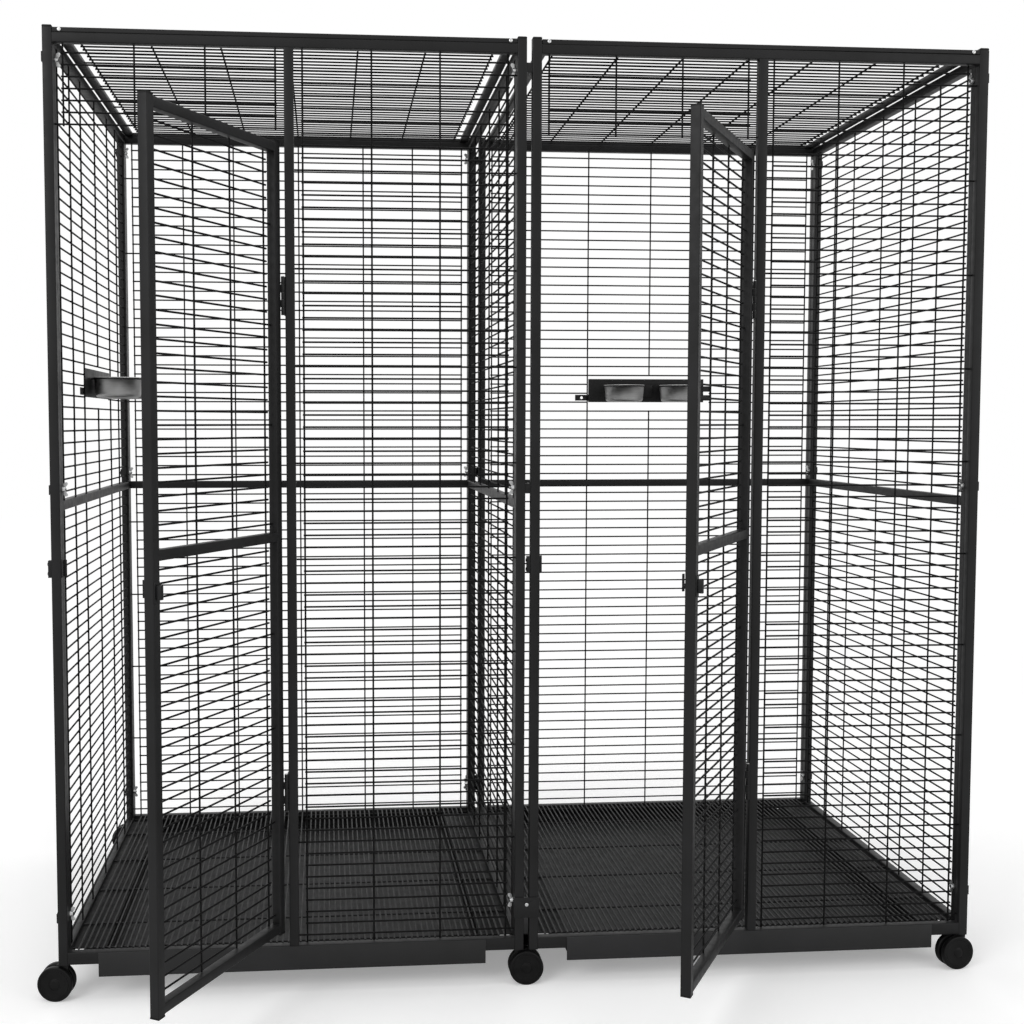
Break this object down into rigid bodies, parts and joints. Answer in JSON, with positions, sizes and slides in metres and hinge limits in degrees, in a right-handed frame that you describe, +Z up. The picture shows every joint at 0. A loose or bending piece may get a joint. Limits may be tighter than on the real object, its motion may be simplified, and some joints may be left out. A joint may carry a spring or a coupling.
{
  "type": "bird aviary",
  "caption": "Walk-in bird aviary of square tube and welded net on castors, with open doors, turn latches, slide-out trays, lift-out floor grates and swing-out feeders.",
  "frame": {"origin": "on the floor, under the plan centre of the two modules' frames", "axes": "+X to the right along the front, +Y to the back, +Z up"},
  "size_m": [2.0702, 1.4214, 2.043],
  "materials": {
    "frame_black": "satin powder coat",
    "net_black": "satin powder coat",
    "sheet_black": "fine texture powder coat",
    "zinc": "bright zinc plate",
    "stainless": "brushed stainless steel",
    "plastic_black": "matte",
    "castor_black": "semi-gloss"
  },
  "bodies": {
    "aviary": {"left_wall_frame": "frame_black", "left_wall_net": "net_black", "partition_frame": "frame_black", "partition_net": "net_black", "right_wall_frame": "frame_black", "right_wall_net": "net_black", "hinge_jamb_leaves": "frame_black", "hinge_pins": "zinc", "strikes": "frame_black", "frame_bolts": "frame_black", "wing_nuts": "zinc", "joining_plates": "frame_black", "bright_screws": "zinc", "post_caps": "plastic_black", "tray_runners": "sheet_black", "castor_sockets": "plastic_black", "left_front_frame": "frame_black", "left_front_net": "net_black", "left_back_frame": "frame_black", "left_back_net": "net_black", "left_roof_frame": "frame_black", "left_roof_net": "net_black", "right_front_frame": "frame_black", "right_front_net": "net_black", "right_back_frame": "frame_black", "right_back_net": "net_black", "right_roof_frame": "frame_black", "right_roof_net": "net_black"},
    "left_door": {"left_door_frame": "frame_black", "left_door_net": "net_black", "left_door_hinge_leaves": "frame_black", "left_latch_plate": "frame_black"},
    "left_latch": {"left_latch_lever": "frame_black"},
    "left_tray": {"left_tray": "sheet_black"},
    "left_grate": {"left_grate": "net_black"},
    "left_feeder": {"left_feeder_plate": "frame_black"},
    "left_bowl_a": {"left_bowl_a": "stainless"},
    "left_bowl_b": {"left_bowl_b": "stainless"},
    "right_door": {"right_door_frame": "frame_black", "right_door_net": "net_black", "right_door_hinge_leaves": "frame_black", "right_latch_plate": "frame_black"},
    "right_latch": {"right_latch_lever": "frame_black"},
    "right_tray": {"right_tray": "sheet_black"},
    "right_grate": {"right_grate": "net_black"},
    "right_feeder": {"right_feeder_plate": "frame_black"},
    "right_bowl_a": {"right_bowl_a": "stainless"},
    "right_bowl_b": {"right_bowl_b": "stainless"},
    "castor_hood_1": {"castor_hood_1": "plastic_black"},
    "castor_wheel_1": {"castor_wheel_1": "castor_black"},
    "castor_hood_2": {"castor_hood_2": "plastic_black"},
    "castor_wheel_2": {"castor_wheel_2": "castor_black"},
    "castor_hood_3": {"castor_hood_3": "plastic_black"},
    "castor_wheel_3": {"castor_wheel_3": "castor_black"},
    "castor_hood_4": {"castor_hood_4": "plastic_black"},
    "castor_wheel_4": {"castor_wheel_4": "castor_black"},
    "castor_hood_5": {"castor_hood_5": "plastic_black"},
    "castor_wheel_5": {"castor_wheel_5": "castor_black"},
    "castor_hood_6": {"castor_hood_6": "plastic_black"},
    "castor_wheel_6": {"castor_wheel_6": "castor_black"}
  },
  "joints": [
    {"name": "left_door_swing", "type": "hinge", "parent": "aviary", "child": "left_door", "pos_m": [-0.5205, -0.503, 0.975], "axis": [0, 0, 1], "range_deg": [-61.5, 110]},
    {"name": "left_latch_turn", "type": "hinge", "parent": "left_door", "child": "left_latch", "pos_m": [-0.74736, -0.89358, 0.925], "axis": [-0.8788, 0.4772, 0], "range_deg": [0, 90]},
    {"name": "left_feeder_swing", "type": "hinge", "parent": "aviary", "child": "left_feeder", "pos_m": [-0.9885, 0.182, 1.32409], "axis": [0, 0, -1], "range_deg": [0, 110]},
    {"name": "left_bowl_a_lift", "type": "slide", "parent": "left_feeder", "child": "left_bowl_a", "axis": [0, 0, 1], "range_m": [0, 0.06]},
    {"name": "left_bowl_b_lift", "type": "slide", "parent": "left_feeder", "child": "left_bowl_b", "axis": [0, 0, 1], "range_m": [0, 0.06]},
    {"name": "left_tray_slide", "type": "slide", "parent": "aviary", "child": "left_tray", "axis": [0, -1, 0], "range_m": [0, 0.7]},
    {"name": "left_grate_lift", "type": "slide", "parent": "aviary", "child": "left_grate", "axis": [0, 0, 1], "range_m": [0, 0.06]},
    {"name": "right_door_swing", "type": "hinge", "parent": "aviary", "child": "right_door", "pos_m": [0.4915, -0.503, 0.975], "axis": [0, 0, 1], "range_deg": [-59.5, 110]},
    {"name": "right_latch_turn", "type": "hinge", "parent": "right_door", "child": "right_latch", "pos_m": [0.25115, -0.88543, 0.925], "axis": [-0.8616, 0.5075, 0], "range_deg": [0, 90]},
    {"name": "right_feeder_swing", "type": "hinge", "parent": "aviary", "child": "right_feeder", "pos_m": [0.688, 0.4825, 1.32409], "axis": [0, 0, -1], "range_deg": [0, 110]},
    {"name": "right_bowl_a_lift", "type": "slide", "parent": "right_feeder", "child": "right_bowl_a", "axis": [0, 0, 1], "range_m": [0, 0.06]},
    {"name": "right_bowl_b_lift", "type": "slide", "parent": "right_feeder", "child": "right_bowl_b", "axis": [0, 0, 1], "range_m": [0, 0.06]},
    {"name": "right_tray_slide", "type": "slide", "parent": "aviary", "child": "right_tray", "axis": [0, -1, 0], "range_m": [0, 0.7]},
    {"name": "right_grate_lift", "type": "slide", "parent": "aviary", "child": "right_grate", "axis": [0, 0, 1], "range_m": [0, 0.06]},
    {"name": "castor_1_swivel", "type": "hinge", "parent": "aviary", "child": "castor_hood_1", "pos_m": [-0.996, -0.49, 0.076], "axis": [0, 0, 1], "continuous": true},
    {"name": "castor_1_roll", "type": "hinge", "parent": "castor_hood_1", "child": "castor_wheel_1", "pos_m": [-1.01191, -0.48833, 0.0375], "axis": [-0.1045, -0.9945, 0], "continuous": true},
    {"name": "castor_2_swivel", "type": "hinge", "parent": "aviary", "child": "castor_hood_2", "pos_m": [-0.016, -0.49, 0.076], "axis": [0, 0, 1], "continuous": true},
    {"name": "castor_2_roll", "type": "hinge", "parent": "castor_hood_2", "child": "castor_wheel_2", "pos_m": [0, -0.49, 0.0375], "axis": [0, 1, 0], "continuous": true},
    {"name": "castor_3_swivel", "type": "hinge", "parent": "aviary", "child": "castor_hood_3", "pos_m": [0.996, -0.49, 0.076], "axis": [0, 0, 1], "continuous": true},
    {"name": "castor_3_roll", "type": "hinge", "parent": "castor_hood_3", "child": "castor_wheel_3", "pos_m": [0.98016, -0.49223, 0.0375], "axis": [0.1392, -0.9903, 0], "continuous": true},
    {"name": "castor_4_swivel", "type": "hinge", "parent": "aviary", "child": "castor_hood_4", "pos_m": [-0.996, 0.49, 0.076], "axis": [0, 0, 1], "continuous": true},
    {"name": "castor_4_roll", "type": "hinge", "parent": "castor_hood_4", "child": "castor_wheel_4", "pos_m": [-1.01191, 0.49167, 0.0375], "axis": [-0.1045, -0.9945, 0], "continuous": true},
    {"name": "castor_5_swivel", "type": "hinge", "parent": "aviary", "child": "castor_hood_5", "pos_m": [-0.016, 0.49, 0.076], "axis": [0, 0, 1], "continuous": true},
    {"name": "castor_5_roll", "type": "hinge", "parent": "castor_hood_5", "child": "castor_wheel_5", "pos_m": [0, 0.49, 0.0375], "axis": [0, 1, 0], "continuous": true},
    {"name": "castor_6_swivel", "type": "hinge", "parent": "aviary", "child": "castor_hood_6", "pos_m": [0.996, 0.49, 0.076], "axis": [0, 0, 1], "continuous": true},
    {"name": "castor_6_roll", "type": "hinge", "parent": "castor_hood_6", "child": "castor_wheel_6", "pos_m": [0.98016, 0.48777, 0.0375], "axis": [0.1392, -0.9903, 0], "continuous": true}
  ]
}
